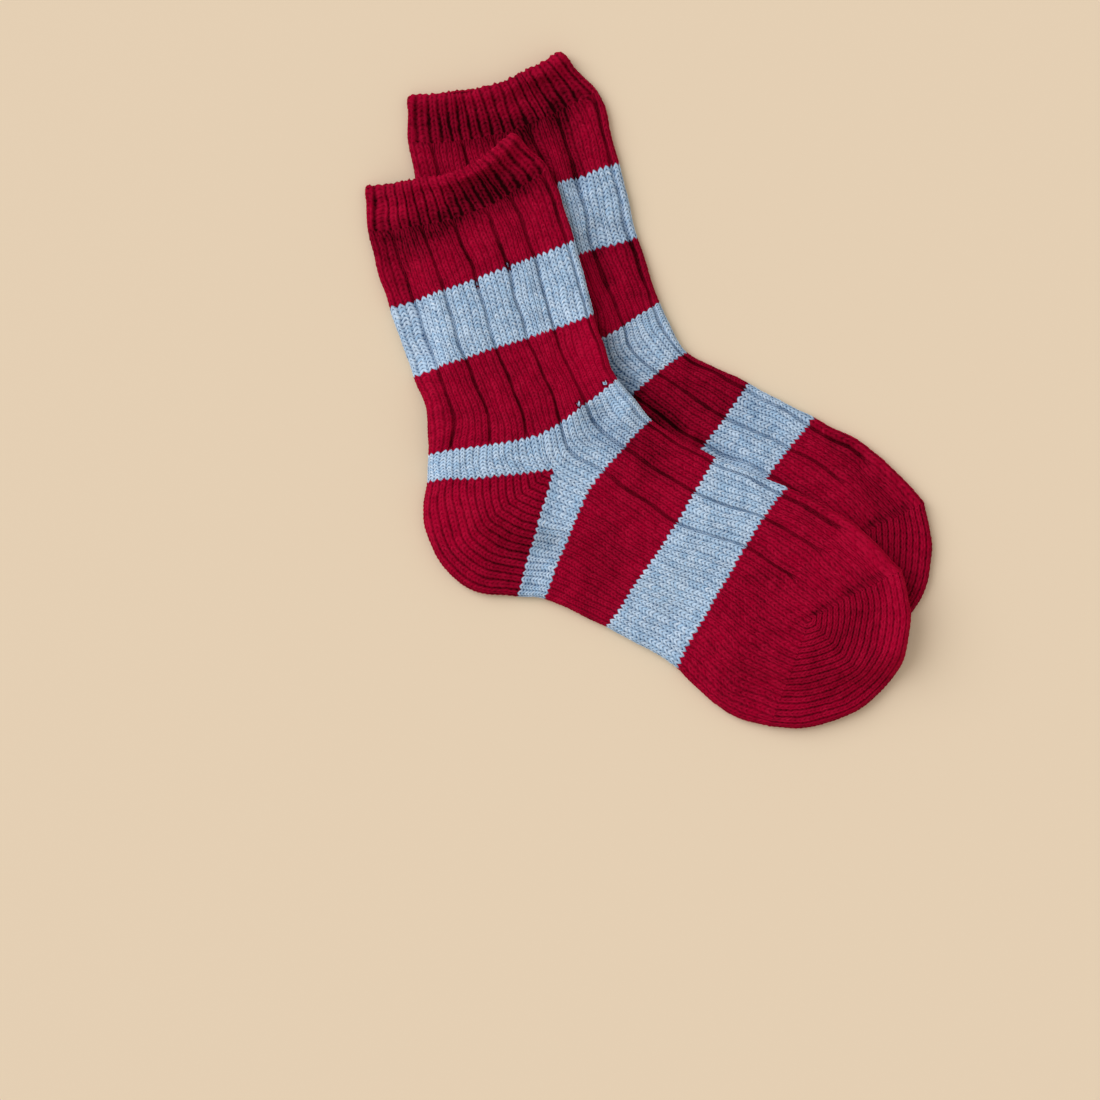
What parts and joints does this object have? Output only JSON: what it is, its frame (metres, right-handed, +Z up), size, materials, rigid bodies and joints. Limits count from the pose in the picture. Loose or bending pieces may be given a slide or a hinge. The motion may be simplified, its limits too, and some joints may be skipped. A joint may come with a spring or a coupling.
{
  "type": "pair of socks",
  "caption": "Pair of chunky ribbed cotton crew socks in crimson with light blue bands, laid flat side by side, the upper one lying partly over the lower one.",
  "frame": {"origin": "on the floor under the middle of the pair's bounding box", "axes": "+X runs towards the toes, +Y runs up the legs towards the cuffs, +Z is up off the surface that the socks lie on"},
  "size_m": [0.2502, 0.2988, 0.019],
  "materials": {
    "striped_cotton_knit": "matt, slightly fuzzy"
  },
  "bodies": {
    "root": {"sock_lower": "striped_cotton_knit", "sock_upper": "striped_cotton_knit"}
  },
  "joints": []
}
